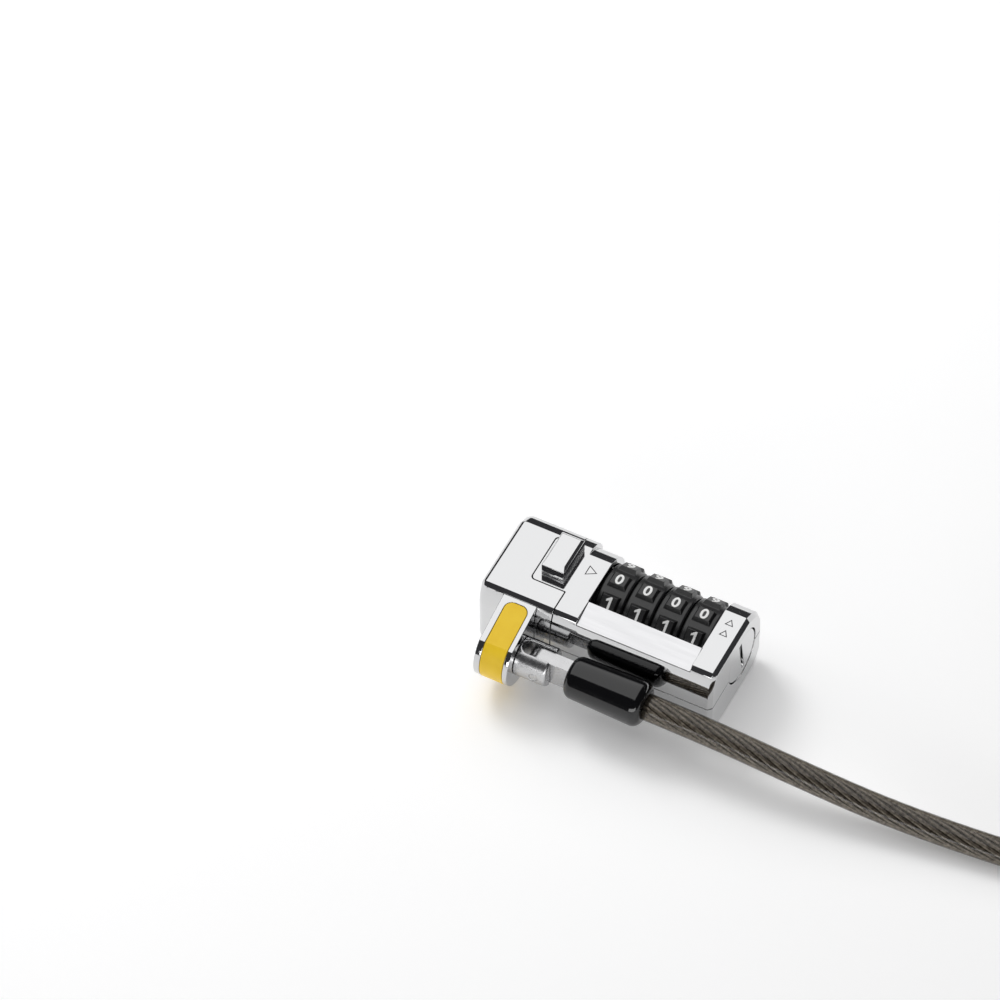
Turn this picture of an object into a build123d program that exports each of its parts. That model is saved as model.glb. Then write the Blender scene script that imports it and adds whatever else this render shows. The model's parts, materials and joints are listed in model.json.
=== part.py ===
from build123d import *
import math
import os

# A combination lock head for a laptop security cable. Millimetres, +Z up.
# X runs along the body from the anchor socket (-X) to the reset screw (+X), +Y points away from
# the cable lug, and the origin is the bottom centre of the lock head's own box.

# ---- driving dimensions ----
LENGTH = 50.8          # overall length of the lock head
WIDTH = 34.5           # overall width, lug included
HEIGHT = 18.5          # height of the body without its release button
WALL = 1.35            # die-cast shell thickness
SEAM = 0.16            # visible gap between two shells
FIT = 0.05             # assembly clearance on each side

NOSE_X = -LENGTH / 2
END_X = LENGTH / 2
BACK_Y = WIDTH / 2
FRONT_Y = -5.45        # front wall of the body, behind the lug
TOP_FRONT_Y = -3.45    # front edge of the flat top
PARTING_Z = 9.0        # seam between the upper and the base housing
BEVEL_DROP = 0.8
BEVEL_Z = HEIGHT - BEVEL_DROP
NOSE_SEAM_X = -9.3     # end of the nose housing
TONGUE_X = -16.8       # left end of the tongue that carries the button
TONGUE_Y = (1.15, 12.4)
TONGUE_STEP_X = -11.9  # where the tongue's seam crosses the shoulder
ROOF_Z = 17.3          # inner face of the roof

NOSE_TOP_BACK_Y = 12.95
MAIN_TOP_BACK_Y = 11.35

SOCKET_Y = 6.05        # axis of the anchor socket
SOCKET_Z = 9.25
MOUTH_R = 5.2          # bore that takes the anchor's 10 mm head
MOUTH_LENGTH = 2.9
CHAMBER_R = 5.6
CAGE_R = 6.2
CAGE_END_X = -17.6
BALL_R = 1.0
BALL_X = -21.0
BALL_LOCKED_R = 5.45   # radius of the ball centres when locked
BALL_COUNT = 3
LATCH_TRAVEL = 2.0
BALL_TRAVEL = 0.85
BUTTON_X = (-15.6, -10.7)
BUTTON_Y = (3.1, 12.2)
BUTTON_TOP_Z = 21.5

DIAL_Y = 8.45          # axis of the dials, the spindle and the reset screw
DIAL_Z = 10.2
DIAL_COUNT = 4
DIAL_PITCH = 6.08
DIAL_WIDTH = 5.86
DIAL_LEFT_X = -4.3     # left edge of the dial window
DIAL_RIGHT_X = DIAL_LEFT_X + DIAL_COUNT * DIAL_PITCH
DIAL_TIP_R = 8.6       # over the finger pads
DIAL_DRUM_R = 7.75
PADS = 10
SLEEVE_R = 5.0
SPINDLE_R = 2.0
SPINDLE_X = (-16.2, 21.0)

LUG_Y = -10.65         # swivel axis
LUG_Z = 9.9
LUG_R = BACK_Y + LUG_Y
LUG_X = (-20.05, -12.8)
SHANK_R = 2.5
FORK_R = 4.0
FORK_END_X = -5.9
PIVOT_X = -8.4
PIN_R = 0.9
TANG_T = 3.0
TANG_H = 6.0
BOOT_X = (-2.3, 14.2)
BOOT_R = (4.3, 4.75)
FERRULE_R = 3.45
FERRULE_X = (-1.4, 12.6)
TANG_END_X = 3.2

BAND_X = (-18.75, -13.85)
BAND_T = 0.7

PLATE_LEN = (DIAL_LEFT_X + 0.05, DIAL_RIGHT_X + 0.1)
PLATE_TOP = (1.05, HEIGHT - 0.05)      # upper edge of the plate's face, in Y and Z
PLATE_LOW = (-4.35, HEIGHT - 1.2)      # lower edge
PLATE_T = 0.7

SCREW_SPOTS = ((-6.5, -0.6), (-6.5, 13.2), (22.6, -0.6))
LIP_SCREW_SPOT = (-11.0, 6.05)
LIP_HOLE_DEPTH = 4.0
POST_R = 1.45
POST_TOP_Z = 17.6
SCREW_R = 0.7
HEAD_R = 1.25
HEAD_DEPTH = 1.0
HEAD_SUNK = 0.2        # screw heads sit this far inside their holes
SCREW_LENGTH = 6.5

CARRIER_X = (-17.0, -15.4)
CARRIER_ARM_Z = (14.3, 16.9)
FRONT_PLATE_X = (-7.2, -4.7)
REAR_PLATE_X = (20.15, 22.7)
LEAF_Z = 3.8           # height of the detent spring
RELEASE_MARK = (-7.25, 7.8)
RESET_MARKS = ((22.3, 8.7), (22.35, 5.95))

RESET_R = 5.8
RESET_SHANK_R = 3.2    # hollow shank that guides the spindle's end
RESET_TILT = 10.5      # lean of the screwdriver slot from vertical, degrees

CABLE_D = 5.5
CABLE_R = CABLE_D / 2
COIL_CENTRE = (118.0, 33.0)
COIL_RADII = (25.5, 31.0, 36.5)
COIL_HEIGHT = 2 * CABLE_D
LEAD_ROUTE = [(BOOT_X[1], LUG_Y, LUG_Z), (28, LUG_Y, LUG_Z), (45, -10.1, 7.8), (63, -8.7, 4.8),
              (81, -6.6, 3.1), (100, -4.4, 2.8), (COIL_CENTRE[0], -3.5, 2.76)]
TAIL_ROUTE = [(COIL_CENTRE[0], -3.5, 8.25), (130, -3.4, 8.9), (143.7, 2.6, 11.3), (152.8, 15.1, 13.9),
              (153.9, 30.6, 14.5), (146.6, 44.3, 14.5), (139.7, 48.3, 14.5)]
SLEEVE_LENGTH = 14.0
SLEEVE_WALL = 0.7
STRAND_Y = 2.85        # half the spacing of the two strands in the sleeve


# ---- helpers ----
def yz_plate(outline, x0, x1):
    """Solid with a YZ outline, from x0 to x1."""
    return extrude(Plane.YZ.offset(x0) * outline, x1 - x0)


def x_rod(radius, x0, x1, y, z):
    """Round rod along X."""
    return yz_plate(Pos(y, z) * Circle(radius), x0, x1)


def box(x0, x1, y0, y1, z0, z1):
    """Box from its six faces."""
    return Pos((x0 + x1) / 2, (y0 + y1) / 2, (z0 + z1) / 2) * Box(x1 - x0, y1 - y0, z1 - z0)


def spun_profile(points, y, z):
    """Solid turned about an axis along X through (y, z), from (x, radius) points."""
    face = make_face(Polyline(*[(x, r) for x, r in points], close=True))
    return Pos(0, y, z) * revolve(face, Axis.X)


def save(node, *solids):
    """Write one node, as one solid or a group of separate solids."""
    shape = solids[0] if len(solids) == 1 else Compound(children=list(solids))
    export_step(shape, f"parts/{node}.step")


# ---- body outline ----
def body_outline(top_back_y, inset=0.0):
    """YZ outline of the body, with a flat top that ends at top_back_y, moved inwards by inset."""
    front_round = 3.6
    back_round = 4.6
    front_straight_z = 12.4
    bevel_run = 0.7
    back_bevel_run = 1.7
    shoulder_rise = 1.57 * (BACK_Y - top_back_y - back_bevel_run)
    bevel_front = (TOP_FRONT_Y - bevel_run, BEVEL_Z)
    bevel_back = (top_back_y + back_bevel_run, BEVEL_Z)
    with BuildLine() as line:
        Line((FRONT_Y + front_round, 0), (BACK_Y - back_round, 0))
        JernArc((BACK_Y - back_round, 0), (1, 0), back_round, 90)
        Line((BACK_Y, back_round), (BACK_Y, BEVEL_Z - shoulder_rise))
        TangentArc((BACK_Y, BEVEL_Z - shoulder_rise), bevel_back, tangent=(0, 1))
        Line(bevel_back, (top_back_y, HEIGHT))
        Line((top_back_y, HEIGHT), (TOP_FRONT_Y, HEIGHT))
        Line((TOP_FRONT_Y, HEIGHT), bevel_front)
        TangentArc((FRONT_Y, front_straight_z), bevel_front, tangent=(0, 1))
        Line((FRONT_Y, front_straight_z), (FRONT_Y, front_round))
        JernArc((FRONT_Y, front_round), (0, -1), front_round, 90)
    face = make_face(line.edges())
    return offset(face, -inset, kind=Kind.INTERSECTION) if inset else face


def nose_block():
    """Outer solid of the nose end, with its rounded end."""
    nose_fillet = 1.8
    block = yz_plate(body_outline(NOSE_TOP_BACK_Y), NOSE_X, NOSE_SEAM_X)
    end = block.faces().sort_by(Axis.X)[0]
    return fillet(end.edges(), nose_fillet)


def main_block():
    """Outer solid of the dial end, with its chamfered end."""
    end_chamfer = 0.8
    block = yz_plate(body_outline(MAIN_TOP_BACK_Y), NOSE_SEAM_X, END_X)
    end = block.faces().sort_by(Axis.X)[-1]
    return chamfer(end.edges(), end_chamfer)


def tongue_region(grow):
    """Space of the tongue and of the shoulder step beside it, in the nose end, grown by grow."""
    corner = 0.9
    roof = box(TONGUE_X - grow, NOSE_SEAM_X + 1, TONGUE_Y[0] - grow, TONGUE_Y[1] + grow,
               ROOF_Z - grow, HEIGHT + 1)
    uprights = roof.edges().filter_by(Axis.Z).group_by(Axis.X)[0]
    roof = fillet(uprights, corner)
    step = box(TONGUE_STEP_X - grow, NOSE_SEAM_X + 1, TONGUE_Y[1] - 1, BACK_Y + 1,
               PARTING_Z, HEIGHT + 1)
    return roof + step


def interior(x0, x1):
    """Hollow inside the shells from x0 to x1."""
    return yz_plate(body_outline(MAIN_TOP_BACK_Y, WALL), x0, x1)


def dial_window():
    """Space swept by the dials, open to the top and the back."""
    clear = 0.3
    x0, x1 = DIAL_LEFT_X - 0.05, DIAL_RIGHT_X + 0.05
    drum = x_rod(DIAL_TIP_R + clear, x0, x1, DIAL_Y, DIAL_Z)
    front_y = TONGUE_Y[0] - 0.07                # runs into the name plate's recess
    top = box(x0, x1, front_y, BACK_Y + 1, 14.0, HEIGHT + 1)
    back = box(x0, x1, 15.0, BACK_Y + 1, 6.5, 15.0)
    return drum + top + back


def reset_hole():
    """Hole in the end wall for the reset screw."""
    return x_rod(RESET_R + 0.16, END_X - 2, END_X + 1, DIAL_Y, DIAL_Z)


def screw_hole(x, y, length):
    """Clearance hole for one housing screw and its head, from below."""
    shank = Pos(x, y, length / 2) * Cylinder(SCREW_R, length)
    head = Pos(x, y, HEAD_DEPTH / 2) * Cylinder(HEAD_R + FIT, HEAD_DEPTH)
    return shank + head


def screw_post(x, y, z0, z1):
    """Post for one housing screw, kept under the skin where the body is round."""
    under_skin = yz_plate(body_outline(MAIN_TOP_BACK_Y, WALL / 2), NOSE_SEAM_X, END_X)
    return Pos(x, y, (z0 + z1) / 2) * Cylinder(POST_R, z1 - z0) & under_skin


# ---- engraved marks ----
def triangle_groove(x, y, side, heading):
    """Shallow outline of an equal-sided triangle on the top, pointing along heading."""
    line_w, depth = 0.17, 0.12
    outer = RegularPolygon(side / math.sqrt(3), 3)
    inner = RegularPolygon(side / math.sqrt(3) - 2 * line_w, 3)
    ring = extrude(outer - inner, 2 * depth)
    return Pos(x, y, HEIGHT - depth) * Rot(0, 0, heading) * ring


def release_mark():
    """Triangle beside the button, pointing to where it slides."""
    return triangle_groove(*RELEASE_MARK, 2.5, 0)


def reset_marks():
    """Two small triangles by the reset screw."""
    side = 1.8
    first, second = [triangle_groove(*spot, side, 90) for spot in RESET_MARKS]
    return first + second


# ---- housings ----
def upper_housing():
    """Upper shell over the dials, with the tongue that reaches into the nose."""
    button_slot = (-14.4, -11.0, 6.6, 9.1)
    tongue_and_step = nose_block() & tongue_region(0)
    shell = main_block() & box(NOSE_SEAM_X, END_X, FRONT_Y - 1, BACK_Y + 1, PARTING_Z, HEIGHT + 1)
    hollow = interior(NOSE_SEAM_X - 3, END_X - WALL - 0.1)
    shell = (shell + tongue_and_step) - hollow
    for spot in SCREW_SPOTS:
        shell += screw_post(*spot, PARTING_Z, POST_TOP_Z)
    shell -= dial_window()
    shell -= reset_hole()
    shell -= box(*button_slot, ROOF_Z - 1, HEIGHT + 1)
    shell -= plate_recess()
    for x, y in SCREW_SPOTS:
        shell -= screw_hole(x, y, SCREW_LENGTH + PARTING_Z)
    return shell - release_mark() - reset_marks()


def base_housing():
    """Lower shell, with a lip that reaches into the nose."""
    slab = box(NOSE_SEAM_X, END_X, FRONT_Y - 1, BACK_Y + 1, -1, PARTING_Z - SEAM)
    shell = main_block() & slab
    shell -= interior(NOSE_SEAM_X - 1, END_X - WALL - 0.1)
    shell -= dial_window()
    shell -= reset_hole()
    lip_y, lip_top = (2.6, 9.5), 2.9
    shell += box(-12.6, NOSE_SEAM_X + 2, *lip_y, WALL + FIT, lip_top)
    shell += box(NOSE_SEAM_X, NOSE_SEAM_X + 2, *lip_y, WALL - 0.3, lip_top)
    for x, y in SCREW_SPOTS:
        shell += screw_post(x, y, SEAM, PARTING_Z - SEAM)
        shell -= screw_hole(x, y, PARTING_Z)
    shell -= screw_hole(*LIP_SCREW_SPOT, LIP_HOLE_DEPTH)
    return shell


def nose_housing():
    """Full ring at the socket end, with the openings for the tongue, the lug and the socket."""
    shell = nose_block() - tongue_region(SEAM)
    shell -= yz_plate(body_outline(NOSE_TOP_BACK_Y, WALL), NOSE_X + 1.2, NOSE_SEAM_X + 1)
    shell -= box(NOSE_SEAM_X - SEAM, NOSE_SEAM_X + 1, FRONT_Y - 1, BACK_Y + 1, -1, HEIGHT + 1)
    shell -= x_rod(CAGE_R + FIT, NOSE_X - 1, NOSE_X + 2, SOCKET_Y, SOCKET_Z)
    lug_slot_z = (3.2, 17.65)
    shell -= box(LUG_X[0] - FIT, LUG_X[1] + FIT, FRONT_Y - 1, FRONT_Y + 2, *lug_slot_z)
    shell -= screw_hole(*LIP_SCREW_SPOT, LIP_HOLE_DEPTH)
    return shell


# ---- name plate ----
def plate_outline(grow):
    """YZ outline of the sloping name plate, grown on its hidden sides."""
    run = PLATE_LOW[0] - PLATE_TOP[0]
    drop = PLATE_LOW[1] - PLATE_TOP[1]
    size = math.hypot(run, drop)
    along = (run / size, drop / size)
    inward = (-drop / size, run / size)
    start = (PLATE_TOP[0] - along[0] * grow, PLATE_TOP[1] - along[1] * grow)
    length = size + 2 * grow
    depth = PLATE_T + grow
    corner = (start[0] + along[0] * length, start[1] + along[1] * length)
    deep = (inward[0] * depth, inward[1] * depth)
    return make_face(Polyline(start, corner, (corner[0] + deep[0], corner[1] + deep[1]),
                              (start[0] + deep[0], start[1] + deep[1]), close=True))


def plate_recess():
    """Recess for the name plate, open above."""
    gap = 0.06
    low = yz_plate(plate_outline(gap), PLATE_LEN[0] - gap, PLATE_LEN[1] + gap)
    return low + Pos(0, -0.1, 0.6) * low + Pos(0, -0.2, 1.2) * low


def name_plate():
    """Blank plate let into the front edge, below the dials."""
    return yz_plate(plate_outline(0), *PLATE_LEN)


# ---- lug for the cable ----
def lug_outline(inset=0.0):
    """YZ outline of the lug: a sloping top that runs into a round end."""
    slope = math.radians(13)
    crease_turn = math.radians(36)
    low_turn = math.radians(10)
    r = LUG_R - inset

    def rim(radius, across, up):
        return LUG_Y - radius * across, LUG_Z + radius * up

    outer = rim(LUG_R, math.sin(crease_turn), math.cos(crease_turn))
    crease = rim(r, math.sin(crease_turn), math.cos(crease_turn))
    start_y = FRONT_Y + WALL
    top = (start_y, outer[1] + (start_y - outer[0]) * math.tan(slope) - inset)
    bottom = (LUG_Y, LUG_Z - r)
    corner = (start_y, LUG_Z - r + inset)
    with BuildLine() as line:
        Line(top, crease)
        ThreePointArc(crease, rim(r, math.cos(low_turn), -math.sin(low_turn)), bottom)
        Line(bottom, corner)
        Line(corner, top)
    return make_face(line.edges())


def band_solid(grow):
    """Band that wraps the lug's top and round end, with rounded corners at its inner end."""
    corner = 1.6
    inner_y = FRONT_Y + 0.4 + grow
    wide = (LUG_X[0] - 1, LUG_X[1] + 1)
    skin = yz_plate(lug_outline(), *LUG_X) - yz_plate(lug_outline(BAND_T), *wide)
    plan = box(BAND_X[0] - grow, BAND_X[1] + grow, -BACK_Y - 1, inner_y, 0, HEIGHT)
    plan = fillet(plan.edges().filter_by(Axis.Z).group_by(Axis.Y)[-1], corner + grow)
    lower_end = box(*wide, LUG_Y + grow, FRONT_Y + 2, 0, LUG_Z)
    return (skin & plan) - lower_end


def lug_band():
    """Coloured band of the lug."""
    return band_solid(-0.06)


def cable_lug():
    """Arm that carries the cable's swivel, with its foot inside the nose."""
    foot_z = (4.2, 12.2)
    inner_y = FRONT_Y + WALL
    recess_r, recess_depth = 4.2, 1.8
    foot = box(LUG_X[0] - 1.5, LUG_X[1] + 1.5, inner_y + FIT, inner_y + 1.0, *foot_z)
    arm = yz_plate(lug_outline(), *LUG_X)
    arm += box(*LUG_X, inner_y - 0.15, inner_y + 0.5, *foot_z)
    arm = arm + foot - band_solid(0)
    arm -= x_rod(SHANK_R + FIT, LUG_X[0] - 1, LUG_X[1] + 1, LUG_Y, LUG_Z)
    arm -= x_rod(recess_r, LUG_X[0] - 1, LUG_X[0] + recess_depth, LUG_Y, LUG_Z)
    return arm


# ---- anchor socket ----
def ball_direction(k):
    """Outward YZ direction of ball k."""
    turn = math.radians(90 + 360 / BALL_COUNT * k)
    return math.cos(turn), math.sin(turn)


def ball_centre(k):
    """Centre of ball k when locked."""
    cy, cz = ball_direction(k)
    return BALL_X, SOCKET_Y + BALL_LOCKED_R * cy, SOCKET_Z + BALL_LOCKED_R * cz


def ball_cage():
    """Blind socket that takes the anchor's head, with three radial ball holes."""
    mouth_x = NOSE_X + 0.2
    chamber_x = mouth_x + MOUTH_LENGTH
    flange = (NOSE_X + 1.2, NOSE_X + 1.8)
    flange_r = 7.6
    back_x = CAGE_END_X - 0.8
    profile = [(mouth_x, MOUTH_R), (mouth_x, CAGE_R), (flange[0], CAGE_R), (flange[0], flange_r),
               (flange[1], flange_r), (flange[1], CAGE_R), (CAGE_END_X, CAGE_R), (CAGE_END_X, 0),
               (back_x, 0), (back_x, CHAMBER_R), (chamber_x, CHAMBER_R), (chamber_x, MOUTH_R)]
    cage = spun_profile(profile, SOCKET_Y, SOCKET_Z)
    for k in range(BALL_COUNT):
        cy, cz = ball_direction(k)
        hole = Plane(origin=(BALL_X, SOCKET_Y, SOCKET_Z), z_dir=(0, cy, cz)) * Circle(BALL_R + FIT)
        cage -= extrude(hole, 8)
    return cage


def latch_collar():
    """Sliding collar whose inner cone drives the balls inwards."""
    x0, x1 = NOSE_X + 2.0, CARRIER_X[0]
    ratio = BALL_TRAVEL / LATCH_TRAVEL
    gap = (BALL_R + 0.03) * math.hypot(1, ratio)
    land_x = BALL_X + 0.6
    outer = 7.85

    def cone(x):
        return BALL_LOCKED_R + gap + ratio * (BALL_X - x)

    land = cone(land_x)
    profile = [(x0, cone(x0)), (x0, outer), (x1, outer), (x1, land), (land_x, land)]
    return spun_profile(profile, SOCKET_Y, SOCKET_Z)


def latch_carrier():
    """Plate behind the collar, with the arm that the button's stem grips."""
    plate = x_rod(7.4, *CARRIER_X, SOCKET_Y, SOCKET_Z)
    arm = box(CARRIER_X[1], -12.4, 5.9, 9.8, *CARRIER_ARM_Z)
    hub = x_rod(SPINDLE_R, SPINDLE_X[0], CARRIER_X[1], DIAL_Y, DIAL_Z)
    return plate + arm - hub


def release_button():
    """Raised block on the tongue that draws the latch towards the dials."""
    x0, x1 = BUTTON_X
    y0, y1 = BUTTON_Y
    left, right, front, back = 0.3, 0.55, 1.3, 0.6     # runs of the four bevels
    z0 = HEIGHT + 0.06
    wall_z = BUTTON_TOP_Z - 0.45
    rim_z, groove_z, groove_in = z0 + 0.45, z0 + 0.7, 0.25
    rim = box(x0, x1, y0, y1, z0, rim_z)
    groove = box(x0 + groove_in, x1 - groove_in, y0 + groove_in, y1 - groove_in, rim_z, groove_z)
    body = box(x0, x1, y0, y1, groove_z, wall_z)
    foot = Pos((x0 + x1) / 2, (y0 + y1) / 2, wall_z) * Rectangle(x1 - x0, y1 - y0)
    face = Pos((x0 + left + x1 - right) / 2, (y0 + front + y1 - back) / 2, BUTTON_TOP_Z) * Rectangle(
        x1 - x0 - left - right, y1 - y0 - front - back)
    top = loft([foot, face])
    stem = box(-14.2, -13.0, 6.8, 8.9, CARRIER_ARM_Z[1], z0)
    return rim + groove + body + top + stem


# ---- code mechanism ----
def spindle():
    """Rod through the dials, with one key for each dial."""
    key_start, key_length, key_half_w, key_r = 0.5, 1.1, 0.55, 3.0
    rod = x_rod(SPINDLE_R, *SPINDLE_X, DIAL_Y, DIAL_Z)
    for k in range(DIAL_COUNT):
        x = DIAL_LEFT_X + k * DIAL_PITCH + key_start
        rod += box(x, x + key_length, DIAL_Y - key_half_w, DIAL_Y + key_half_w, DIAL_Z, DIAL_Z + key_r)
    return rod


def dial_span(k):
    """Left and right face of dial k."""
    left = DIAL_LEFT_X + k * DIAL_PITCH + (DIAL_PITCH - DIAL_WIDTH) / 2
    return left, left + DIAL_WIDTH


def dial(k):
    """Dial k: a drum with ten raised finger pads."""
    x0, x1 = dial_span(k)
    rim_chamfer = 0.3
    pad_x, pad_y = 4.2, 3.8
    pad_foot_r = 7.15
    pad_height = DIAL_TIP_R - 0.1 - pad_foot_r         # the corners reach DIAL_TIP_R
    pad_taper = 22
    drum = x_rod(DIAL_DRUM_R, x0, x1, DIAL_Y, DIAL_Z)
    drum = chamfer(drum.edges().filter_by(GeomType.CIRCLE), rim_chamfer)
    foot = Pos((x0 + x1) / 2, DIAL_Y, DIAL_Z + pad_foot_r) * Rectangle(pad_x, pad_y)
    pad = extrude(foot, pad_height, taper=pad_taper)
    for i in range(PADS):
        drum += pad.rotate(Axis((0, DIAL_Y, DIAL_Z), (1, 0, 0)), 360 / PADS * i)
    return drum - x_rod(SLEEVE_R, x0 - 1, x1 + 1, DIAL_Y, DIAL_Z)


def code_sleeve(k):
    """Sleeve inside dial k, with the gate that lets the spindle's keys through."""
    x0, x1 = dial_span(k)
    web, pocket_r = 1.5, 3.35
    gate_half_w, gate_r = 0.7, 3.2
    sleeve = x_rod(SLEEVE_R, x0, x1, DIAL_Y, DIAL_Z)
    sleeve -= x_rod(pocket_r, x0 - 1, x1 - web, DIAL_Y, DIAL_Z)
    sleeve -= x_rod(SPINDLE_R + FIT, x0, x1 + 1, DIAL_Y, DIAL_Z)
    gate = box(x1 - web - 1, x1 + 1, DIAL_Y - gate_half_w, DIAL_Y + gate_half_w, DIAL_Z, DIAL_Z + gate_r)
    return sleeve - gate


def bearing_plate(x0, x1, bore):
    """Plate across the shells that carries the spindle."""
    plate_y = (1.0, 11.2)
    plate = box(x0, x1, *plate_y, WALL + 2 * FIT, ROOF_Z - 0.4)
    return plate - x_rod(bore, x0 - 1, x1 + 1, DIAL_Y, DIAL_Z)


def reset_screw():
    """Slotted screw in the end wall that frees the code sleeves."""
    slot_w, slot_l, slot_d = 1.0, 8.6, 1.0
    face_x = END_X - 0.12
    rim_chamfer = 0.25
    flange_x, flange_r = (22.9, 23.9), RESET_R + 0.6
    shank_x, bore_end_x = 20.6, 23.4
    bore_r = SPINDLE_R + FIT
    profile = [(face_x, 0), (face_x, RESET_R - rim_chamfer), (face_x - rim_chamfer, RESET_R),
               (flange_x[1], RESET_R), (flange_x[1], flange_r), (flange_x[0], flange_r),
               (flange_x[0], RESET_SHANK_R), (shank_x, RESET_SHANK_R), (shank_x, bore_r),
               (bore_end_x, bore_r), (bore_end_x, 0)]
    screw = spun_profile(profile, DIAL_Y, DIAL_Z)
    slot = Pos(face_x, 0, 0) * Box(2 * slot_d, slot_w, slot_l)
    return screw - Pos(0, DIAL_Y, DIAL_Z) * Rot(RESET_TILT, 0, 0) * slot


def latch_spring():
    """Compression spring round the spindle, between the carrier and the bearing plate."""
    mean_r, wire_r = 3.0, 0.3
    x0, x1 = CARRIER_X[1] + wire_r, FRONT_PLATE_X[0] - wire_r
    coils = 6
    path = Helix(pitch=(x1 - x0) / coils, height=x1 - x0, radius=mean_r)
    section = Plane(origin=path @ 0, z_dir=path % 0) * Circle(wire_r)
    wire = sweep(section, path=path, is_frenet=True)
    return Pos(x0, DIAL_Y, DIAL_Z) * Rot(0, 90, 0) * wire


def detent_spring():
    """Leaf spring with one finger under each dial."""
    leaf = 0.3
    length = (-4.0, 19.8)
    root_y, finger_y, finger_inset = -2.9, -1.4, 1.6
    comb = box(*length, root_y, finger_y, LEAF_Z, LEAF_Z + leaf)
    for k in range(DIAL_COUNT):
        x0, x1 = dial_span(k)
        comb += box(x0 + finger_inset, x1 - finger_inset, finger_y, 1.8, LEAF_Z, LEAF_Z + leaf)
    foot = box(*length, root_y, root_y + leaf, WALL + 0.4, LEAF_Z)
    return comb + foot


def housing_screws():
    """Four countersunk screws from below."""
    cross_l, cross_w, cross_d = 1.6, 0.35, 0.7
    shank_r = SCREW_R - 0.02
    screws = []
    for x, y in (*SCREW_SPOTS, LIP_SCREW_SPOT):
        length = 2.7 if (x, y) == LIP_SCREW_SPOT else SCREW_LENGTH + PARTING_Z - 0.5
        head = Pos(x, y, (HEAD_DEPTH + HEAD_SUNK) / 2) * Cylinder(HEAD_R, HEAD_DEPTH - HEAD_SUNK)
        cross = Box(cross_l, cross_w, cross_d) + Box(cross_w, cross_l, cross_d)
        shank = Pos(x, y, (HEAD_DEPTH + length) / 2) * Cylinder(shank_r, length - HEAD_DEPTH)
        screws.append(head + shank - Pos(x, y, HEAD_SUNK) * cross)
    return screws


# ---- swivel and cable end ----
def swivel_fork():
    """Clevis whose shank turns in the lug."""
    slot_w = TANG_T + 0.2
    slot_x = LUG_X[1] + 0.3
    shank = x_rod(SHANK_R, LUG_X[0] + 0.3, LUG_X[1] + 1, LUG_Y, LUG_Z)
    head = x_rod(FORK_R, LUG_X[1] + 0.08, FORK_END_X, LUG_Y, LUG_Z)
    head = chamfer(head.edges().sort_by(Axis.X)[-1], 0.35)
    half_w = slot_w / 2
    slot = box(slot_x + half_w, FORK_END_X + 1, LUG_Y - half_w, LUG_Y + half_w, 0, HEIGHT)
    slot += Pos(slot_x + half_w, LUG_Y, LUG_Z) * Cylinder(half_w, HEIGHT)
    return shank + head - slot - pin_rod(PIN_R, FORK_R + 1)


def pin_rod(radius, half_length):
    """Rod along Y through the pivot."""
    return Pos(PIVOT_X, LUG_Y, LUG_Z) * Rot(90, 0, 0) * Cylinder(radius, 2 * half_length)


def pivot_pin():
    """Pin pressed into the fork."""
    return pin_rod(PIN_R, FORK_R - 0.15)


def swivel_retainer():
    """Washer riveted on the shank's far end."""
    washer_r = 3.9
    ring = x_rod(washer_r, LUG_X[0] + 0.3, LUG_X[0] + 1.6, LUG_Y, LUG_Z)
    return ring - x_rod(SHANK_R, LUG_X[0] - 1, LUG_X[0] + 2, LUG_Y, LUG_Z)


def tang_blade(x0, x1):
    """Flat bar with the tang's section."""
    half_t, half_h = TANG_T / 2, TANG_H / 2
    return box(x0, x1, LUG_Y - half_t, LUG_Y + half_t, LUG_Z - half_h, LUG_Z + half_h)


def cable_tang():
    """Flat eye on the cable's end that pivots in the fork."""
    eye = Pos(PIVOT_X, LUG_Y, LUG_Z) * Rot(90, 0, 0) * Cylinder(TANG_H / 2, TANG_T)
    return eye + tang_blade(PIVOT_X, TANG_END_X) - pin_rod(PIN_R + FIT, TANG_T)


def crimp_ferrule():
    """Steel ferrule that joins the tang and the cable, inside the boot."""
    return x_rod(FERRULE_R, *FERRULE_X, LUG_Y, LUG_Z) - tang_blade(FERRULE_X[0] - 1, TANG_END_X)


def cable_boot():
    """Moulded boot over the ferrule, a little thicker at the cable."""
    x0, x1 = BOOT_X
    r0, r1 = BOOT_R
    front_fillet, cable_fillet = 1.7, 1.9
    profile = Polyline((x0, 0), (x0, r0), (x1, r1), (x1, 0), close=True)
    boot = revolve(make_face(profile), Axis.X)
    ends = boot.edges().filter_by(GeomType.CIRCLE).sort_by(Axis.X)
    boot = fillet(ends[0], front_fillet)
    boot = fillet(boot.edges().filter_by(GeomType.CIRCLE).sort_by(Axis.X)[-1], cable_fillet)
    boot = Pos(0, LUG_Y, LUG_Z) * boot
    boot -= x_rod(FERRULE_R, *FERRULE_X, LUG_Y, LUG_Z)
    return boot - tang_blade(x0 - 1, 0)


# ---- cable ----
def corner_radii(route):
    """Largest arc at each corner of a route that its two runs allow."""
    points = [Vector(*p) for p in route]
    radii = []
    for a, b, c in zip(points, points[1:], points[2:]):
        turn = math.radians((b - a).get_angle(c - b))
        radii.append(0.45 * min((b - a).length, (c - b).length) / math.tan(turn / 2))
    return radii


def cable_tube(name, route):
    """Round tube along a route of straight runs and tangent arcs."""
    radii = corner_radii(route)
    path = FilletPolyline(*route, radius=radii)
    section = Plane(origin=path @ 0, z_dir=path % 0) * Circle(CABLE_R)
    tube = sweep(section, path=path)
    expected = math.pi * CABLE_R ** 2 * path.length
    print(name, "radii", [round(r, 1) for r in radii], "length", round(path.length, 1),
          "volume ratio", round(tube.volume / expected, 4))
    return tube


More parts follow.
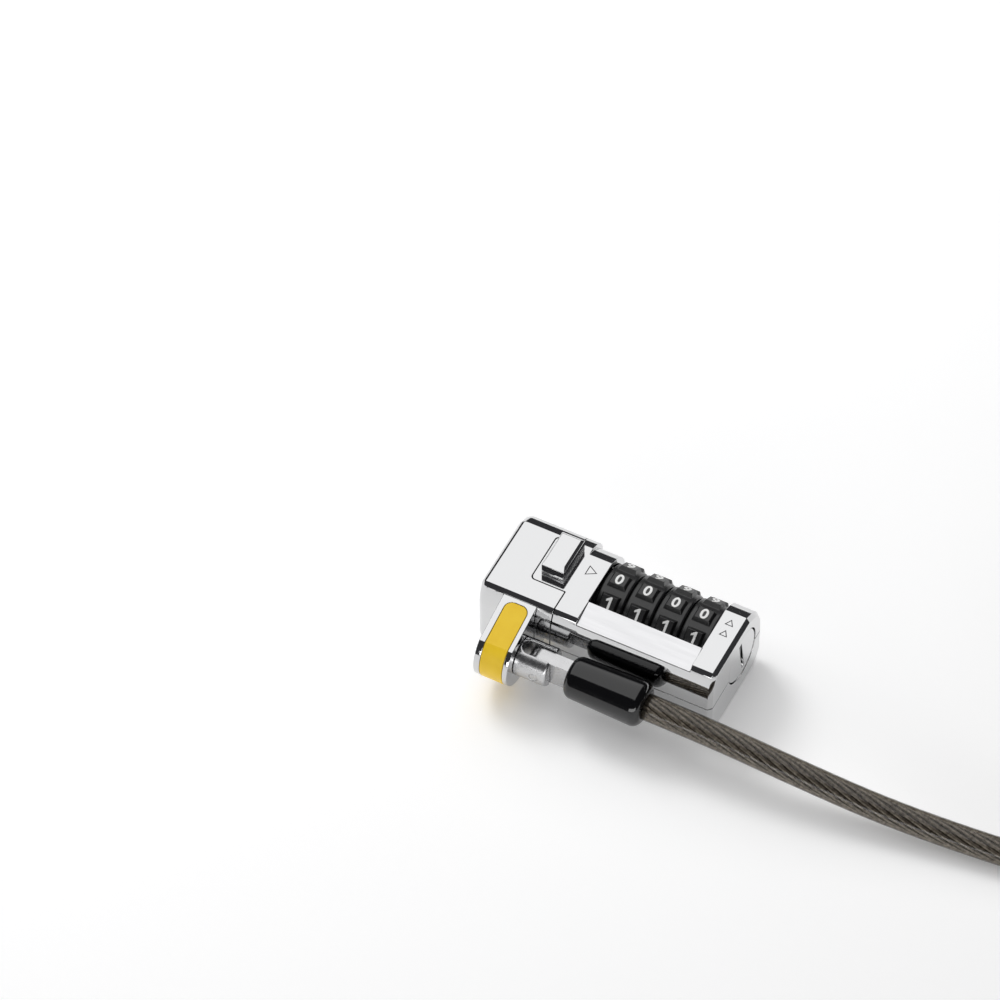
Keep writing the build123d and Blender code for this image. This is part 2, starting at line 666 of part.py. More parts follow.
def at_sleeve(shape):
    """Place a shape drawn along +X from the origin at the end of the tail, in line with it."""
    (x0, y0, _), (x1, y1, _) = TAIL_ROUTE[-2:]
    heading = math.degrees(math.atan2(y1 - y0, x1 - x0))
    return Pos(*TAIL_ROUTE[-1]) * Rot(0, 0, heading) * shape


def loop_sleeve():
    """Oval crimp sleeve that closes the loop."""
    outer_r = CABLE_R + SLEEVE_WALL
    outline = Plane.YZ * SlotOverall(2 * (STRAND_Y + outer_r), 2 * outer_r)
    sleeve = extrude(outline, SLEEVE_LENGTH)
    return at_sleeve(sleeve)


def loop_eye():
    """Closed loop of cable beyond the sleeve."""
    half = [(SLEEVE_LENGTH, STRAND_Y), (SLEEVE_LENGTH + 6, STRAND_Y), (SLEEVE_LENGTH + 17, 10.6),
            (SLEEVE_LENGTH + 30, 12.8), (SLEEVE_LENGTH + 39.2, 6.4)]
    outline = half + [(x, -y) for x, y in reversed(half)]
    return at_sleeve(cable_tube("loop", [(x, y, 0) for x, y in outline]))


def cable_coil():
    """Outer shape of the wound part of the cable."""
    inner, outer = COIL_RADII[0] - CABLE_R, COIL_RADII[-1] + CABLE_R
    ring = Cylinder(outer, COIL_HEIGHT) - Cylinder(inner, COIL_HEIGHT + 2)
    ring = Pos(*COIL_CENTRE, COIL_HEIGHT / 2) * ring
    return chamfer(ring.edges().filter_by(GeomType.CIRCLE), 0.9)


def main():
    os.makedirs("parts", exist_ok=True)
    save("upper_housing", upper_housing())
    save("base_housing", base_housing())
    save("nose_housing", nose_housing())
    save("name_plate", name_plate())
    save("cable_lug", cable_lug())
    save("lug_band", lug_band())
    save("ball_cage", ball_cage())
    save("latch_collar", latch_collar())
    save("latch_carrier", latch_carrier())
    save("release_button", release_button())
    save("spindle", spindle())
    for k in range(DIAL_COUNT):
        save(f"dial_{k + 1}", dial(k))
        save(f"code_sleeve_{k + 1}", code_sleeve(k))
    for k in range(BALL_COUNT):
        save(f"locking_ball_{k + 1}", Pos(*ball_centre(k)) * Sphere(BALL_R))
    save("front_bearing_plate", bearing_plate(*FRONT_PLATE_X, SPINDLE_R + FIT))
    save("rear_bearing_plate", bearing_plate(*REAR_PLATE_X, RESET_SHANK_R + FIT))
    save("reset_screw", reset_screw())
    save("latch_spring", latch_spring())
    save("detent_spring", detent_spring())
    save("housing_screws", *housing_screws())
    save("swivel_fork", swivel_fork())
    save("swivel_retainer", swivel_retainer())
    save("pivot_pin", pivot_pin())
    save("cable_tang", cable_tang())
    save("crimp_ferrule", crimp_ferrule())
    save("cable_boot", cable_boot())
    save("security_cable", cable_tube("lead", LEAD_ROUTE))
    save("cable_coil", cable_coil())
    save("cable_tail", cable_tube("tail", TAIL_ROUTE))
    save("loop_sleeve", loop_sleeve())
    save("loop_eye", loop_eye())


main()
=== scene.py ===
import json
import math

import bmesh
import bpy
from mathutils import Matrix, Vector

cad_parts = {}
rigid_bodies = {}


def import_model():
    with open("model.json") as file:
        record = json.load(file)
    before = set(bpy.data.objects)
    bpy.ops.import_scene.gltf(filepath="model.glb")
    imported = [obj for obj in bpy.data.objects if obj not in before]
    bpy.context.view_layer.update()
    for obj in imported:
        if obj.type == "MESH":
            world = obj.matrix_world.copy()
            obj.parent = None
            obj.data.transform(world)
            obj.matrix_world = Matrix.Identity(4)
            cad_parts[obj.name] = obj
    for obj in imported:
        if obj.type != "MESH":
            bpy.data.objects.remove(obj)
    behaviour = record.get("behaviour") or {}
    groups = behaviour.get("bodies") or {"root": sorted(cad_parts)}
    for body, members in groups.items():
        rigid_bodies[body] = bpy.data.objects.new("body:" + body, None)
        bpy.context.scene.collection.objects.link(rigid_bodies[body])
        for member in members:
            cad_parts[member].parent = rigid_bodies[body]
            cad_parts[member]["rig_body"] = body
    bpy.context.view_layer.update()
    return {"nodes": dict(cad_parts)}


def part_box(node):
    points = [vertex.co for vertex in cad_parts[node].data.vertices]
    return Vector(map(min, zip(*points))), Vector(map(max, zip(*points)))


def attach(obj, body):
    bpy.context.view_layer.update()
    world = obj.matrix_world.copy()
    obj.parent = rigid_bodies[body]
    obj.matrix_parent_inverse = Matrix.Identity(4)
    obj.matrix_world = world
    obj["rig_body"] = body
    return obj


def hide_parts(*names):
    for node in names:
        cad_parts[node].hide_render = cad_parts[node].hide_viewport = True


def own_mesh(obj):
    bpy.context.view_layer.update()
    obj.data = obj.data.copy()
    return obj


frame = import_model()
nodes = frame["nodes"]

# Driving sizes, in metres unless a name says otherwise. The axes are those of the CAD bodies.
MM = 0.001
DIAL_COUNT = 4
PADS = 10
DIAL_AXIS = Vector((0, 8.45, 10.2)) * MM     # a point on the dials' axis, which is along X


# ---- helpers ----
def add_object(name, data):
    """A new object in the scene."""
    added = bpy.data.objects.new(name, data)
    bpy.context.scene.collection.objects.link(added)
    return added


def paint(piece, material):
    """Gives a piece one material all over."""
    piece.data.materials.clear()
    piece.data.materials.append(material)


def aim(viewer, target, azimuth, elevation, distance):
    """Puts a camera or light at a distance from the target, facing it. The angles are in degrees."""
    a, e = math.radians(azimuth), math.radians(elevation)
    back = Vector((math.sin(a) * math.cos(e), -math.cos(a) * math.cos(e), math.sin(e)))
    viewer.location = target + back * distance
    viewer.rotation_mode = "QUATERNION"
    viewer.rotation_quaternion = (-back).to_track_quat("-Z", "Y")


# ---- camera ----
CAMERA_TARGET = Vector((-37.5, 28.2, 0)) * MM
CAMERA_AZIMUTH = 27.2      # degrees, 0 looks along +Y
CAMERA_ELEVATION = 52.0
CAMERA_DISTANCE = 1.198
CAMERA_LENS = 216.0        # mm on a 36 mm sensor
CAMERA_CLIP = (0.05, 10)


def make_camera():
    data = bpy.data.cameras.new("camera")
    data.lens = CAMERA_LENS
    data.clip_start, data.clip_end = CAMERA_CLIP
    camera = add_object("camera", data)
    aim(camera, CAMERA_TARGET, CAMERA_AZIMUTH, CAMERA_ELEVATION, CAMERA_DISTANCE)
    bpy.context.scene.camera = camera


# ---- cable: the route of the CAD solids as one spline ----
CABLE_D = 5.5 * MM
LEAD_ROUTE = [(14.2, -10.65, 9.9), (28, -10.65, 9.9), (45, -10.1, 7.8), (63, -8.7, 4.8),
              (81, -6.6, 3.1), (100, -4.4, 2.8), (118, -3.5, 2.76)]
TAIL_ROUTE = [(118, -3.5, 8.25), (130, -3.4, 8.9), (143.7, 2.6, 11.3), (152.8, 15.1, 13.9),
              (153.9, 30.6, 14.5), (146.6, 44.3, 14.5), (139.7, 48.3, 14.5)]
COIL_CENTRE = (118, 33)
COIL_RADII = (36.5, 31, 25.5, 25.5, 31, 36.5)   # of the six turns, in the order they are wound
COIL_LAYERS = (2.75, 8.25)                      # heights of the two layers
CLIMBING_TURN = 2          # the turn, counted from 0, that ends on the upper layer
TURN_POINTS = 24
CHANGE_START = 0.72        # share of a turn after which the cable moves over to the next one
RISE_BULGE = 2.2           # how far the climbing turn keeps inside its neighbours
SPLINE_STEPS = 6           # of the drawn line between two control points
LINE_SPACING = 1.5 * MM    # between the points that the tubes are built on
# half of the far loop's route: along and across from the tail's end, inside the sleeve at first
LOOP_HALF = [(12, 2.85), (20, 2.85), (31, 10.6), (44, 12.8), (53.2, 6.4)]


def smoothstep(t):
    t = min(max(t, 0.0), 1.0)
    return t * t * (3 - 2 * t)


def coil_points():
    """Control points of the coil, from the lead's end to the tail's start, which are not among them."""
    on_curve = 0.75 + 0.25 * math.cos(2 * math.pi / TURN_POINTS)   # spline's radius over its points' radius
    points = []
    for step in range(1, TURN_POINTS * len(COIL_RADII)):
        turn, part = divmod(step, TURN_POINTS)
        change = smoothstep((part / TURN_POINTS - CHANGE_START) / (1 - CHANGE_START))
        radius = COIL_RADII[turn]
        if turn + 1 < len(COIL_RADII):
            radius += (COIL_RADII[turn + 1] - radius) * change
        rise = 0 if turn < CLIMBING_TURN else 1
        if turn == CLIMBING_TURN:
            rise = change
            radius -= RISE_BULGE * math.sin(math.pi * change)
        angle = 2 * math.pi * part / TURN_POINTS - math.pi / 2
        points.append((COIL_CENTRE[0] + radius / on_curve * math.cos(angle),
                       COIL_CENTRE[1] + radius / on_curve * math.sin(angle),
                       COIL_LAYERS[0] + (COIL_LAYERS[1] - COIL_LAYERS[0]) * rise))
    return points


def baked_mesh(source):
    """The mesh of a temporary object with its modifiers applied. The object is removed."""
    bpy.context.view_layer.update()
    depsgraph = bpy.context.evaluated_depsgraph_get()
    mesh = bpy.data.meshes.new_from_object(source.evaluated_get(depsgraph), preserve_all_data_layers=True,
                                           depsgraph=depsgraph)
    bpy.data.objects.remove(source)
    return mesh


def line_points(route):
    """Evenly spaced points along the open quadratic spline that a route in millimetres controls."""
    data = bpy.data.curves.new("guide", "CURVE")
    data.dimensions = "3D"
    spline = data.splines.new("NURBS")
    spline.points.add(len(route) - 1)
    for point, place in zip(spline.points, route):
        point.co = (*(Vector(place) * MM), 1)
    spline.order_u = 3
    spline.use_endpoint_u = True
    spline.resolution_u = SPLINE_STEPS
    mesh = baked_mesh(add_object("guide", data))
    dense = [v.co.copy() for v in mesh.vertices]
    bpy.data.meshes.remove(mesh)
    return even_points(dense, LINE_SPACING)


def even_points(dense, spacing):
    """The same line with its points spacing apart."""
    lengths = [0.0]
    for a, b in zip(dense, dense[1:]):
        lengths.append(lengths[-1] + (b - a).length)
    count = max(2, round(lengths[-1] / spacing))
    points, at = [], 0
    for step in range(count + 1):
        goal = lengths[-1] * step / count
        while at < len(dense) - 2 and lengths[at + 1] < goal:
            at += 1
        span = lengths[at + 1] - lengths[at]
        points.append(dense[at].lerp(dense[at + 1], (goal - lengths[at]) / span if span else 0))
    return points


def line_frames(points):
    """A place, tangent and two normals at each point, carried along without twist."""
    side = Vector((0, 1, 0))
    frames = []
    for i, place in enumerate(points):
        ahead = points[min(i + 1, len(points) - 1)] - points[max(i - 1, 0)]
        tangent = ahead.normalized()
        side = (side - tangent * side.dot(tangent)).normalized()
        frames.append((place, tangent, side, tangent.cross(side)))
    return frames


def mesh_piece(name, bm, smooth=True):
    """Makes an object of a bmesh and frees it."""
    mesh = bpy.data.meshes.new(name)
    bm.to_mesh(mesh)
    bm.free()
    for polygon in mesh.polygons:
        polygon.use_smooth = smooth
    return add_object(name, mesh)


def add_tube(bm, centres, radius, sides):
    """Adds a tube with closed ends along (place, normal, binormal) triples."""
    rings = []
    for place, normal, binormal in centres:
        ring = []
        for k in range(sides):
            a = 2 * math.pi * k / sides
            ring.append(bm.verts.new(place + (normal * math.cos(a) + binormal * math.sin(a)) * radius))
        rings.append(ring)
    for lower, upper in zip(rings, rings[1:]):
        for k in range(sides):
            bm.faces.new((lower[k], lower[(k + 1) % sides], upper[(k + 1) % sides], upper[k]))
    bm.faces.new(rings[0][::-1])
    bm.faces.new(rings[-1])


SHEATH_SIDES = 24
STRANDS = 14
STRAND_SIDES = 8
STRAND_R = 0.50 * MM
STRAND_LAY_R = 2.12 * MM     # of the strands' centres
STRAND_PITCH = 50 * MM       # length of cable in which a strand goes once round


def strand_mesh(name, points):
    """Steel strands laid round a core, along the cable."""
    frames = line_frames(points)
    travelled = 0.0
    places = []
    for i, (place, tangent, side, up) in enumerate(frames):
        if i:
            travelled += (place - frames[i - 1][0]).length
        places.append((travelled, place, tangent, side, up))
    bm = bmesh.new()
    for k in range(STRANDS):
        centres = []
        for travelled, place, tangent, side, up in places:
            a = 2 * math.pi * (k / STRANDS + travelled / STRAND_PITCH)
            out = side * math.cos(a) + up * math.sin(a)
            centres.append((place + out * STRAND_LAY_R, out, tangent.cross(out)))
        add_tube(bm, centres, STRAND_R, STRAND_SIDES)
    core = [(place, side, up) for _, place, _, side, up in places]
    add_tube(bm, core, STRAND_LAY_R - STRAND_R, STRAND_SIDES)
    return mesh_piece(name, bm)


def loop_route():
    """Route of the far loop, which starts and ends inside the crimp sleeve."""
    start = Vector(TAIL_ROUTE[-1])
    along = (start - Vector(TAIL_ROUTE[-2])).normalized()
    across = Vector((0, 0, 1)).cross(along)
    outline = LOOP_HALF + [(x, -y) for x, y in reversed(LOOP_HALF)]
    return [tuple(start + along * x + across * y) for x, y in outline]


def sheath_mesh(name, line):
    """The cable's clear outer tube along a line."""
    bm = bmesh.new()
    add_tube(bm, [(place, side, up) for place, _, side, up in line_frames(line)], CABLE_D / 2, SHEATH_SIDES)
    return mesh_piece(name, bm)


def make_cable(sleeve, clear, steel):
    """Sheath and strands of the cable and of its far loop, which the sleeve closes: a free cord."""
    line = line_points(LEAD_ROUTE + coil_points() + TAIL_ROUTE)
    loop_line = line_points(loop_route())
    sheath = sheath_mesh("cable_sheath", line)
    strands = strand_mesh("cable_strands", line)
    loop = sheath_mesh("loop_sheath", loop_line)
    loop_strands = strand_mesh("loop_strands", loop_line)
    for piece in (sheath, loop):
        paint(piece, clear)
        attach(piece, "cable_end")
    for piece in (strands, loop_strands):
        paint(piece, steel)
        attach(piece, "cable_end")
    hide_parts("security_cable", "cable_coil", "cable_tail")
    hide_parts("loop_eye")
    tuple(Vector(LEAD_ROUTE[0]) * MM)


# ---- materials ----
NOISE_RANGE = (0.3, 0.7)       # the part of a noise's 0 to 1 that is spread over a colour or roughness
MIX_FACTOR, MIX_ONE, MIX_TWO, MIX_RESULT = 0, 6, 7, 2      # sockets of a Mix node that mixes colours

# For each material the shader's uniform values, then what noise varies: colour and rough are the noise and
# the two ends of the range, bump is the noise, its height in metres and its strength. A noise is (scale,
# detail) or (scale, detail, stretch). Its grain is about 1 / scale metres, drawn out along the piece's axes
# by stretch.
FINISHES = {
    "chrome_shell": {
        "uniform": {"Base Color": (0.62, 0.622, 0.626, 1), "Metallic": 1.0},
        "rough": ((260, 3), 0.05, 0.085),
        "bump": ((120, 1), 1e-6, 0.3)},
    "blank_plate": {           # brushed along its length
        "uniform": {"Metallic": 1.0},
        "colour": ((900, 2, (12, 1, 1)), (0.62, 0.62, 0.63), (0.68, 0.68, 0.69)),
        "rough": ((1500, 2, (20, 1, 1)), 0.16, 0.22),
        "bump": ((4000, 2, (25, 1, 1)), 4e-7, 0.4)},
    "yellow_band": {
        "uniform": {"Specular IOR Level": 0.3},
        "colour": ((300, 4), (0.84, 0.55, 0.022), (0.88, 0.60, 0.032)),
        "rough": ((1200, 3), 0.30, 0.42),
        "bump": ((2600, 3), 5e-6, 0.5)},
    "black_dial": {
        "uniform": {"Specular IOR Level": 0.6},
        "colour": ((700, 3), (0.007, 0.007, 0.0075), (0.012, 0.012, 0.0125)),
        "rough": ((1500, 3), 0.27, 0.36),
        "bump": ((6000, 3), 3e-6, 0.5)},
    "cast_zinc": {
        "uniform": {"Metallic": 1.0},
        "colour": ((500, 4), (0.42, 0.43, 0.44), (0.54, 0.55, 0.56)),
        "rough": ((900, 3), 0.38, 0.55),
        "bump": ((3000, 3), 8e-6, 0.5)},
    "satin_steel": {
        "uniform": {"Metallic": 1.0},
        "colour": ((300, 2), (0.52, 0.52, 0.525), (0.56, 0.56, 0.565)),
        "rough": ((700, 2), 0.24, 0.29),
        "bump": ((9000, 2), 2e-7, 0.3)},
    "black_boot": {
        "uniform": {"Base Color": (0.003, 0.003, 0.0035, 1), "Specular IOR Level": 0.45,
                    "Coat Weight": 0.3, "Coat Roughness": 0.04},
        "rough": ((500, 3), 0.08, 0.13),
        "bump": ((400, 1), 1e-6, 0.3)},
    "aluminium_crimp": {
        "uniform": {"Metallic": 1.0},
        "colour": ((400, 3), (0.66, 0.66, 0.67), (0.78, 0.78, 0.79)),
        "rough": ((1500, 3, (8, 1, 1)), 0.28, 0.42),
        "bump": ((1200, 3), 8e-6, 0.5)},
    "smoked_sheath": {         # clear and tinted, under a glossy skin
        "uniform": {"Base Color": (0.014, 0.011, 0.008, 1), "Alpha": 0.36,
                    "Coat Weight": 0.8, "Coat Roughness": 0.06},
        "rough": ((400, 3), 0.08, 0.16),
        "bump": ((260, 2), 2e-6, 0.4)},
    "strand_steel": {          # fine wires, from bright to dark
        "uniform": {"Metallic": 0.85},
        "colour": ((1600, 3), (0.13, 0.11, 0.085), (0.40, 0.35, 0.28)),
        "rough": ((1500, 2), 0.28, 0.42),
        "bump": ((3000, 2), 4e-6, 0.5)},
    "digit_white": {
        "uniform": {},
        "colour": ((1800, 3), (0.80, 0.80, 0.79), (0.90, 0.90, 0.89)),
        "rough": ((2500, 2), 0.45, 0.6)},
    "mark_ink": {
        "uniform": {},
        "colour": ((1800, 3), (0.012, 0.012, 0.013), (0.022, 0.022, 0.023)),
        "rough": ((2500, 2), 0.5, 0.65)},
    "floor_paper": {
        "uniform": {"Base Color": (0.92, 0.92, 0.92, 1), "Roughness": 0.9, "Specular IOR Level": 0.0,
                    "Emission Color": (1, 1, 1, 1), "Emission Strength": 0.21}},
}


def add_noise(tree, place, scale, detail, stretch=(1, 1, 1)):
    """Noise from 0 to 1 at a place socket."""
    mapping = tree.nodes.new("ShaderNodeMapping")
    mapping.inputs["Scale"].default_value = tuple(1 / s for s in stretch)
    texture = tree.nodes.new("ShaderNodeTexNoise")
    texture.inputs["Scale"].default_value = scale
    texture.inputs["Detail"].default_value = detail
    tree.links.new(place, mapping.inputs["Vector"])
    tree.links.new(mapping.outputs["Vector"], texture.inputs["Vector"])
    return texture.outputs["Fac"]


def spread(tree, socket, low, high):
    """Spreads a noise over the range low to high."""
    node = tree.nodes.new("ShaderNodeMapRange")
    node.inputs["From Min"].default_value, node.inputs["From Max"].default_value = NOISE_RANGE
    node.inputs["To Min"].default_value = low
    node.inputs["To Max"].default_value = high
    tree.links.new(socket, node.inputs["Value"])
    return node.outputs["Result"]


def make_material(name, uniform, colour=None, rough=None, bump=None):
    """A node material with procedural detail, as a row of FINISHES says."""
    material = bpy.data.materials.new(name)
    material.use_nodes = True
    tree = material.node_tree
    shader = tree.nodes["Principled BSDF"]
    for socket, value in uniform.items():
        shader.inputs[socket].default_value = value
    place = tree.nodes.new("ShaderNodeTexCoord").outputs["Object"]
    if colour:
        noise, one, two = colour
        mix = tree.nodes.new("ShaderNodeMix")
        mix.data_type = "RGBA"
        mix.inputs[MIX_ONE].default_value = (*one, 1)
        mix.inputs[MIX_TWO].default_value = (*two, 1)
        tree.links.new(spread(tree, add_noise(tree, place, *noise), 0, 1), mix.inputs[MIX_FACTOR])
        tree.links.new(mix.outputs[MIX_RESULT], shader.inputs["Base Color"])
    if rough:
        noise, low, high = rough
        tree.links.new(spread(tree, add_noise(tree, place, *noise), low, high), shader.inputs["Roughness"])
    if bump:
        noise, height, strength = bump
        relief = tree.nodes.new("ShaderNodeBump")
        relief.inputs["Distance"].default_value = height
        relief.inputs["Strength"].default_value = strength
        tree.links.new(add_noise(tree, place, *noise), relief.inputs["Height"])
        tree.links.new(relief.outputs["Normal"], shader.inputs["Normal"])
    return material


# ---- engraved marks, in millimetres ----
TOP_Z = 18.5
MARK_LINE = 0.17           # width of the engraved line
MARKS = [(-7.25, 7.8, 2.5, 0), (22.3, 8.7, 1.8, 90), (22.35, 5.95, 1.8, 90)]   # x, y, side, heading
MARK_ZONE = 0.3            # an edge nearer to the top face than this can belong to a mark
MARK_PAINT = (0.12, 0.03)  # depths of the paint's underside and top


# ---- shells with rounded edges ----
CREASE = math.radians(12)      # a CAD edge whose two sides' normals differ by more gets a small round
MARK_ROUND = 0.12              # share of a round that the engraved marks get
FLAT = math.radians(0.4)       # facets of one flat face differ by less
WELD = 0.002 * MM              # vertices nearer than this are one
ROUND_SEGMENTS = 2
FACE_WEIGHT = 80               # how far the large faces rule the normals beside the rounds
EDGE_ROUNDS = {                # width of the round in millimetres
    "upper_housing": 0.09, "base_housing": 0.09, "nose_housing": 0.09, "name_plate": 0.07,
    "cable_lug": 0.14, "lug_band": 0.10, "release_button": 0.12, "reset_screw": 0.10,
    "swivel_fork": 0.14, "cable_tang": 0.14, "pivot_pin": 0.12, "loop_sleeve": 0.3,
    "dial_1": 0.10, "dial_2": 0.10, "dial_3": 0.10, "dial_4": 0.10, "housing_screws": 0.06}


def place_key(vert):
    """The vertex's place, rounded so that the two sides of an edge agree."""
    return tuple(round(c / WELD) for c in vert.co)


def in_mark(edge):
    """Whether the edge belongs to an engraved mark, whose line is too narrow for a full round."""
    middle = (edge.verts[0].co + edge.verts[1].co) / 2 / MM
    return middle.z > TOP_Z - MARK_ZONE and any(
        math.hypot(middle.x - x, middle.y - y) < side for x, y, side, _ in MARKS)


def mark_creases(bm, mesh):
    """Gives a bevel weight to the edges where the CAD's normals change from one face to the next."""
    weight = bm.edges.layers.float.new("bevel_weight_edge")
    normals = [Vector(corner.vector) for corner in mesh.corner_normals]
    sides = {}
    start = 0
    for face in bm.faces:
        count = len(face.verts)
        for k, loop in enumerate(face.loops):
            after = (k + 1) % count
            ends = {place_key(face.verts[k]): normals[start + k],
                    place_key(face.verts[after]): normals[start + after]}
            sides.setdefault(frozenset(ends), []).append((loop.edge, ends))
        start += count
    for places, group in sides.items():
        for place in places:
            found = [ends[place] for _, ends in group]
            if any(found[0].angle(other, 0) > CREASE for other in found[1:]):
                for edge, _ in group:
                    edge[weight] = MARK_ROUND if in_mark(edge) else 1.0


def rounded_piece(name, width, material):
    """The CAD node's shape with its sharp edges rounded, as they are on a cast or moulded part."""
    bm = bmesh.new()
    bm.from_mesh(nodes[name].data)
    mark_creases(bm, nodes[name].data)
    bmesh.ops.remove_doubles(bm, verts=bm.verts, dist=WELD)
    bmesh.ops.dissolve_limit(bm, angle_limit=FLAT, verts=bm.verts, edges=bm.edges)
    source = mesh_piece("source", bm)
    edge = source.modifiers.new("edge", "BEVEL")
    edge.width = width * MM
    edge.segments = ROUND_SEGMENTS
    edge.limit_method = "WEIGHT"
    edge.use_clamp_overlap = False
    edge.loop_slide = False
    edge.miter_outer = "MITER_ARC"
    normals = source.modifiers.new("normals", "WEIGHTED_NORMAL")
    normals.weight = FACE_WEIGHT
    piece = add_object(f"{name}_shell", baked_mesh(source))
    paint(piece, material)
    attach(piece, nodes[name]["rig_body"])
    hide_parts(name)
    return piece


def make_spring(material):
    """The latch's return spring, with its own copy of the CAD node's mesh."""
    node = nodes["latch_spring"]
    spring = add_object("latch_spring_coil", node.data.copy())
    paint(spring, material)
    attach(spring, node["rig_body"])
    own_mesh(spring)
    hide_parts("latch_spring")


# ---- dial digits ----
DIGIT_H = 2.45 * MM        # height
DIGIT_T = 0.05 * MM        # thickness
PAD_TOP_R = 8.5 * MM       # the pads' flat tops from the dials' axis
DIGIT_SINK = 0.3           # share of a digit's thickness that is in the pad
FONT_EXTRUDE = 0.05        # in font sizes; it is scaled to the thickness afterwards
FONT_OFFSET = 0.026        # in font sizes, makes the strokes bolder
FONT_STEPS = 6
# corners of the digit 1, in digit heights
ONE = [(0.02, -0.5), (0.22, -0.5), (0.22, 0.5), (0.08, 0.5), (-0.24, 0.26), (-0.24, 0.08), (0.02, 0.2)]


def one_mesh():
    """The digit 1: a bar with a flag."""
    bm = bmesh.new()
    rings = [[bm.verts.new((x * DIGIT_H, y * DIGIT_H, z)) for x, y in ONE] for z in (0, DIGIT_T)]
    bm.faces.new(rings[0][::-1])
    bm.faces.new(rings[1])
    for k, corner in enumerate(rings[0]):
        after = (k + 1) % len(ONE)
        bm.faces.new((corner, rings[0][after], rings[1][after], rings[1][k]))
    mesh = bpy.data.meshes.new("digit")
    bm.to_mesh(mesh)
    bm.free()
    return mesh


def digit_mesh(text):
    """Mesh of one digit, DIGIT_H tall and centred, standing off the XY plane by DIGIT_T."""
    if text == "1":
        return one_mesh()
    data = bpy.data.curves.new("digit", "FONT")
    data.body = text
    data.extrude = FONT_EXTRUDE
    data.resolution_u = FONT_STEPS
    data.offset = FONT_OFFSET
    mesh = baked_mesh(add_object("digit", data))
    low = Vector([min(v.co[i] for v in mesh.vertices) for i in range(3)])
    high = Vector([max(v.co[i] for v in mesh.vertices) for i in range(3)])
    size = high - low
    scale = DIGIT_H / size.y
    for v in mesh.vertices:
        v.co = Vector(((v.co.x - (low.x + high.x) / 2) * scale, (v.co.y - (low.y + high.y) / 2) * scale,
                       (v.co.z - low.z) / size.z * DIGIT_T))
    return mesh


def make_digits(material):
    """White digits 0 to 9 on the finger pads of each dial."""
    glyphs = [digit_mesh(str(d)) for d in range(PADS)]
    for k in range(1, DIAL_COUNT + 1):
        low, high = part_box(f"dial_{k}")
        centre = (low + high) / 2
        bm = bmesh.new()
        for digit, glyph in enumerate(glyphs):
            start = len(bm.verts)
            bm.from_mesh(glyph)
            bm.verts.ensure_lookup_table()
            turn = Matrix.Rotation(2 * math.pi * digit / PADS, 4, "X")
            move = Matrix.Translation((centre.x, *DIAL_AXIS.yz)) @ turn
            move = move @ Matrix.Translation((0, 0, PAD_TOP_R - DIGIT_T * DIGIT_SINK))
            for v in bm.verts[start:]:
                v.co = move @ v.co
        piece = mesh_piece(f"dial_{k}_digits", bm, smooth=False)
        paint(piece, material)
        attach(piece, f"dial_body_{k}")
    for glyph in glyphs:
        bpy.data.meshes.remove(glyph)


# ---- paint in the engraved marks ----
def make_marks(material):
    """Dark paint that fills the engraved triangles."""
    bm = bmesh.new()
    for x, y, side, heading in MARKS:
        rings = []
        outer = side / math.sqrt(3)
        turns = [math.radians(heading + 120 * k) for k in range(3)]
        for depth in MARK_PAINT:
            for r in (outer, outer - 2 * MARK_LINE):
                corners = [(x + r * math.cos(a), y + r * math.sin(a), TOP_Z - depth) for a in turns]
                rings.append([bm.verts.new(Vector(corner) * MM) for corner in corners])
        for one, two in ((0, 1), (1, 3), (3, 2), (2, 0)):      # underside, inside, top, outside
            for k in range(3):
                after = (k + 1) % 3
                bm.faces.new((rings[one][k], rings[two][k], rings[two][after], rings[one][after]))
    bmesh.ops.recalc_face_normals(bm, faces=bm.faces)
    piece = mesh_piece("mark_paint", bm, smooth=False)
    paint(piece, material)
    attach(piece, nodes["upper_housing"]["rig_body"])


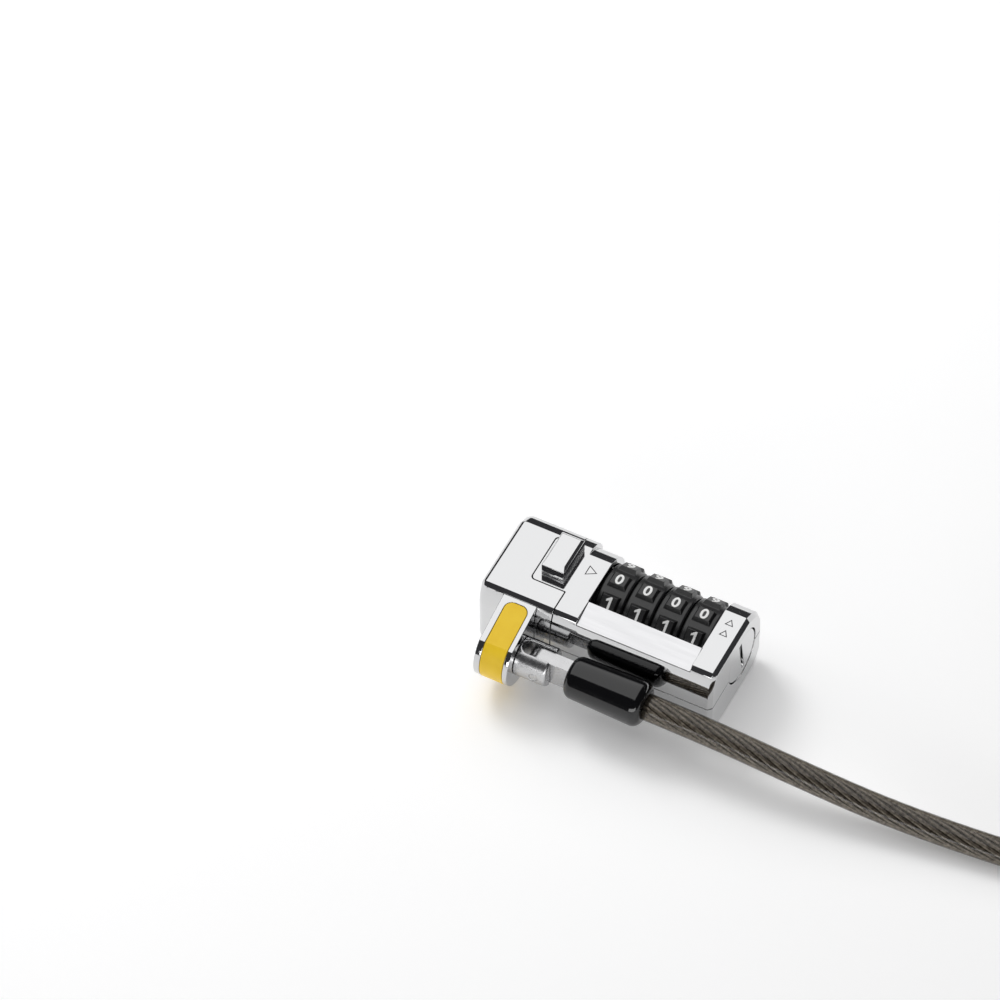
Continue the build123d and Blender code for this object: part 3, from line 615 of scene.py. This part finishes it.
# ---- stage and light ----
FLOOR_HALF = 0.45
FLOOR_DROP = 0.0001        # keeps the floor off the lock's base
SURROUNDINGS = (0.045, 0.045, 0.048, 1)
# azimuth, elevation, distance, (width, height), watts, target, whether reflections show it
SOFTBOXES = {
    # level sheet, which the top faces reflect; slopes to the right look past its edge
    "overhead": (0, 90, 0.7, (1.38, 1.65), 9.1, (-0.51, 0.475, 0), True),
    "key": (245, 50, 0.8, (0.3, 0.3), 2.2, (0, 0, 0.01), False),
    "front_card": (20, 9, 1.2, (1.6, 0.35), 6.0, (0, 0, 0.01), True)}


def make_softboxes():
    for name, (azimuth, elevation, distance, size, power, target, glossy) in SOFTBOXES.items():
        data = bpy.data.lights.new(name, "AREA")
        data.shape = "RECTANGLE"
        data.size, data.size_y = size
        data.energy = power
        light = add_object(name, data)
        aim(light, Vector(target), azimuth, elevation, distance)
        light.visible_glossy = glossy


def make_stage(paper):
    """White floor, dark surroundings and softboxes."""
    bm = bmesh.new()
    bmesh.ops.create_grid(bm, x_segments=2, y_segments=2, size=FLOOR_HALF)
    floor = mesh_piece("floor", bm)
    floor.location.z = -FLOOR_DROP
    paint(floor, paper)
    world = bpy.data.worlds.new("surroundings")
    bpy.context.scene.world = world
    world.use_nodes = True
    world.node_tree.nodes["Background"].inputs["Color"].default_value = SURROUNDINGS
    make_softboxes()
    view = bpy.context.scene.view_settings
    view.view_transform = "Standard"
    view.look = "None"


def main():
    make_camera()
    finishes = {name: make_material(name, **row) for name, row in FINISHES.items()}
    finishes["sheathed_cable"] = finishes["smoked_sheath"]     # the CAD's name for that slot
    shells = {}
    for node in nodes.values():
        slot = node.data.materials[0].name
        paint(node, finishes[slot])
        if node.name in EDGE_ROUNDS:
            shells[node.name] = rounded_piece(node.name, EDGE_ROUNDS[node.name], finishes[slot])
    make_cable(shells["loop_sleeve"], finishes["smoked_sheath"], finishes["strand_steel"])
    make_spring(finishes["satin_steel"])
    make_digits(finishes["digit_white"])
    make_marks(finishes["mark_ink"])
    make_stage(finishes["floor_paper"])


main()
